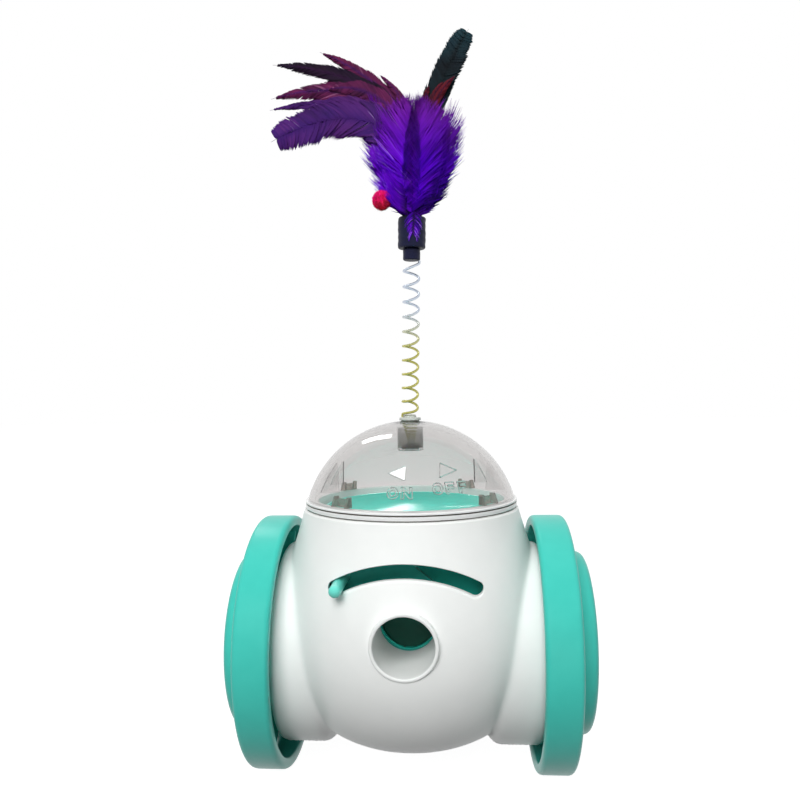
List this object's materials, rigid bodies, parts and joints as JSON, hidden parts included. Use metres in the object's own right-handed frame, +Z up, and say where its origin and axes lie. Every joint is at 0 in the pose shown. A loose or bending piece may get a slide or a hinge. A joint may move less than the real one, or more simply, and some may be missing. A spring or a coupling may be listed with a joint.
{
  "type": "treat-dispensing toy car",
  "caption": "Weighted pot between big wheels that drops pet treats as it rolls, with a clear twist-lock lid, a swinging outlet gate and a feather wand on a spring.",
  "frame": {"origin": "on the floor under the middle of the axle, which is the bottom centre of the whole toy", "axes": "+X along the axle to the right as seen from the front, -Y towards the treat outlet, +Z up"},
  "size_m": [0.1226, 0.0974, 0.2553],
  "materials": {
    "white_abs": "satin white moulded plastic",
    "teal_abs": "satin teal moulded plastic",
    "pale_teal_abs": "satin pale teal moulded plastic",
    "clear_plastic": "clear moulded plastic with a grey tint",
    "grey_plastic": "grey moulded plastic",
    "nylon": "plain nylon",
    "steel": "bright steel",
    "iron": "plain cast iron",
    "black_rubber": "matt black rubber",
    "violet_down": "fluffy dyed down",
    "plum_feather": "dyed feather",
    "dark_feather": "dark feather with a green sheen",
    "red_wool": "fluffy red ball"
  },
  "bodies": {
    "base": {"front_shell": "white_abs", "rear_shell": "white_abs", "shell_screws": "steel", "counterweight": "iron", "axle": "steel", "axle_spacers": "nylon", "axle_clips": "steel", "hopper": "teal_abs", "gate_pivot_screw": "steel", "gate_washer": "steel"},
    "left_wheel": {"left_wheel": "teal_abs", "left_hub_cap": "teal_abs"},
    "right_wheel": {"right_wheel": "teal_abs", "right_hub_cap": "teal_abs"},
    "gate": {"gate": "teal_abs", "gate_lever": "pale_teal_abs"},
    "lid": {"dome": "clear_plastic", "wand_plug": "grey_plastic"},
    "wand": {"wand_spring": "steel", "spring_collar": "black_rubber", "feather_sleeve": "black_rubber", "plume": "violet_down", "hackle_low": "plum_feather", "hackle_mid": "plum_feather", "hackle_high": "plum_feather", "hackle_top": "plum_feather", "hackle_back": "dark_feather", "green_feather": "dark_feather", "pompom": "red_wool"}
  },
  "joints": [
    {"name": "left_wheel_spin", "type": "hinge", "parent": "base", "child": "left_wheel", "pos_m": [-0.0487, 0, 0.045], "axis": [1, 0, 0], "continuous": true},
    {"name": "right_wheel_spin", "type": "hinge", "parent": "base", "child": "right_wheel", "pos_m": [0.0487, 0, 0.045], "axis": [1, 0, 0], "continuous": true},
    {"name": "gate_swing", "type": "hinge", "parent": "base", "child": "gate", "pos_m": [0, -0.0225, 0.037], "axis": [0, 1, 0], "range_deg": [0, 59]},
    {"name": "lid_turn", "type": "hinge", "parent": "base", "child": "lid", "pos_m": [0, 0, 0.0945], "axis": [0, 0, 1], "range_deg": [0, 25]},
    {"name": "wand_sway", "type": "hinge", "parent": "lid", "child": "wand", "pos_m": [0.0006, 0, 0.153], "axis": [0, 1, 0], "range_deg": [-30, 30], "stiffness_Nm_per_rad": 0.06, "deforming": ["wand_spring"]}
  ]
}
